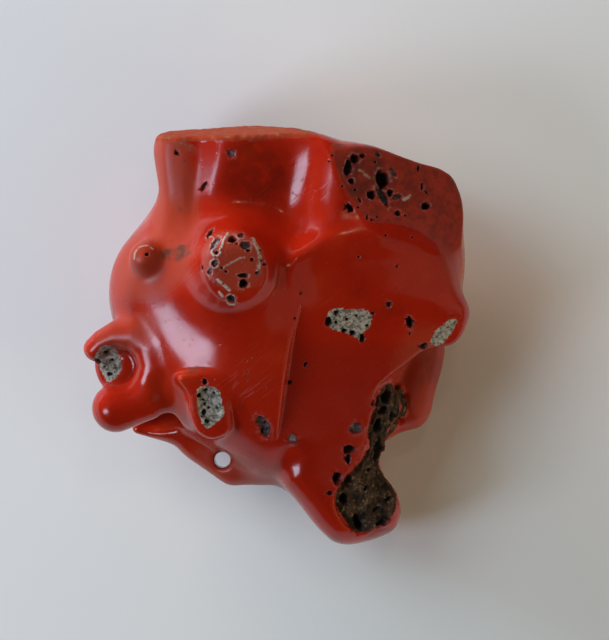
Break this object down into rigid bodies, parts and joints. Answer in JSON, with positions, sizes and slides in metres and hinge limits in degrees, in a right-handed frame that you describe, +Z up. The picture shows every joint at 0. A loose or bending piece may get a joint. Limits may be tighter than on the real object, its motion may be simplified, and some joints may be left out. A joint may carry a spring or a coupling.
{
  "type": "red coral branch",
  "caption": "Stocky polished base of a red coral branch with broken, sawn and sponge-bored branch stubs, lying on its flat sawn foot",
  "frame": {"origin": "Middle of the flat sawn foot that the coral rests on, at table height.", "axes": "+Z up from the table, towards the camera that looks down on it. +Y towards the broken neck, away from the lower leg. +X towards the sawn shoulder and the ledge's tip."},
  "size_m": [0.0517, 0.0572, 0.0339],
  "materials": {
    "coral_body": "polished orange-red coral with bored pores and chalky grey knobs",
    "coral_neck": "polished red coral, worn matt and brown at its broken end",
    "coral_sawn_branch": "red coral, satin on the sawn face with dark sponge borings",
    "coral_fork": "polished red coral round a grey lime fill",
    "coral_web": "polished red coral with one hole worn through",
    "coral_crusted_branch": "polished red coral with a broken hollow of rough brown crust",
    "coral_heel": "polished red coral"
  },
  "bodies": {
    "root": {"trunk": "coral_body", "neck": "coral_neck", "shoulder": "coral_sawn_branch", "left_fork": "coral_fork", "web": "coral_web", "lower_leg": "coral_crusted_branch", "heel": "coral_heel"}
  },
  "joints": []
}
